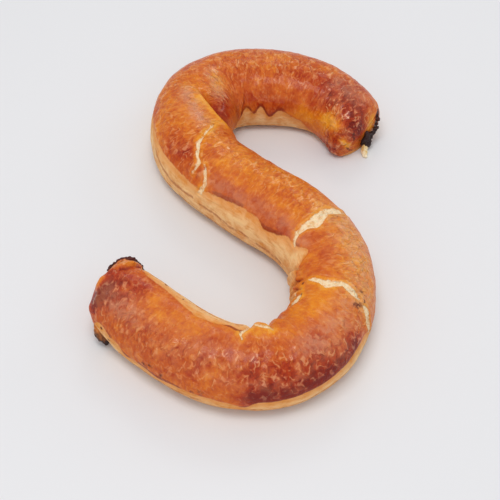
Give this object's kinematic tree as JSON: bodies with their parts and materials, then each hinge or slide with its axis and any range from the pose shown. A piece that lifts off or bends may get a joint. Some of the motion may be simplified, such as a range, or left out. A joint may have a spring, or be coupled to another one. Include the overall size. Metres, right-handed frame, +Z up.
{
  "type": "almond pastry letter",
  "caption": "Baked puff-pastry roll bent into the letter S, with a flat underside, blunt folded ends and two open bays.",
  "frame": {"origin": "middle of the letter's bounding box, on the surface it rests on", "axes": "+Z up from that surface, +Y up the letter from its foot to its head, +X to the letter's right as it is read from above"},
  "size_m": [0.1866, 0.292, 0.0424],
  "materials": {
    "baked_pastry": "satin egg-washed crust, amber to red-brown, with paler unglazed flanks"
  },
  "bodies": {
    "root": {"pastry_letter": "baked_pastry"}
  },
  "joints": []
}
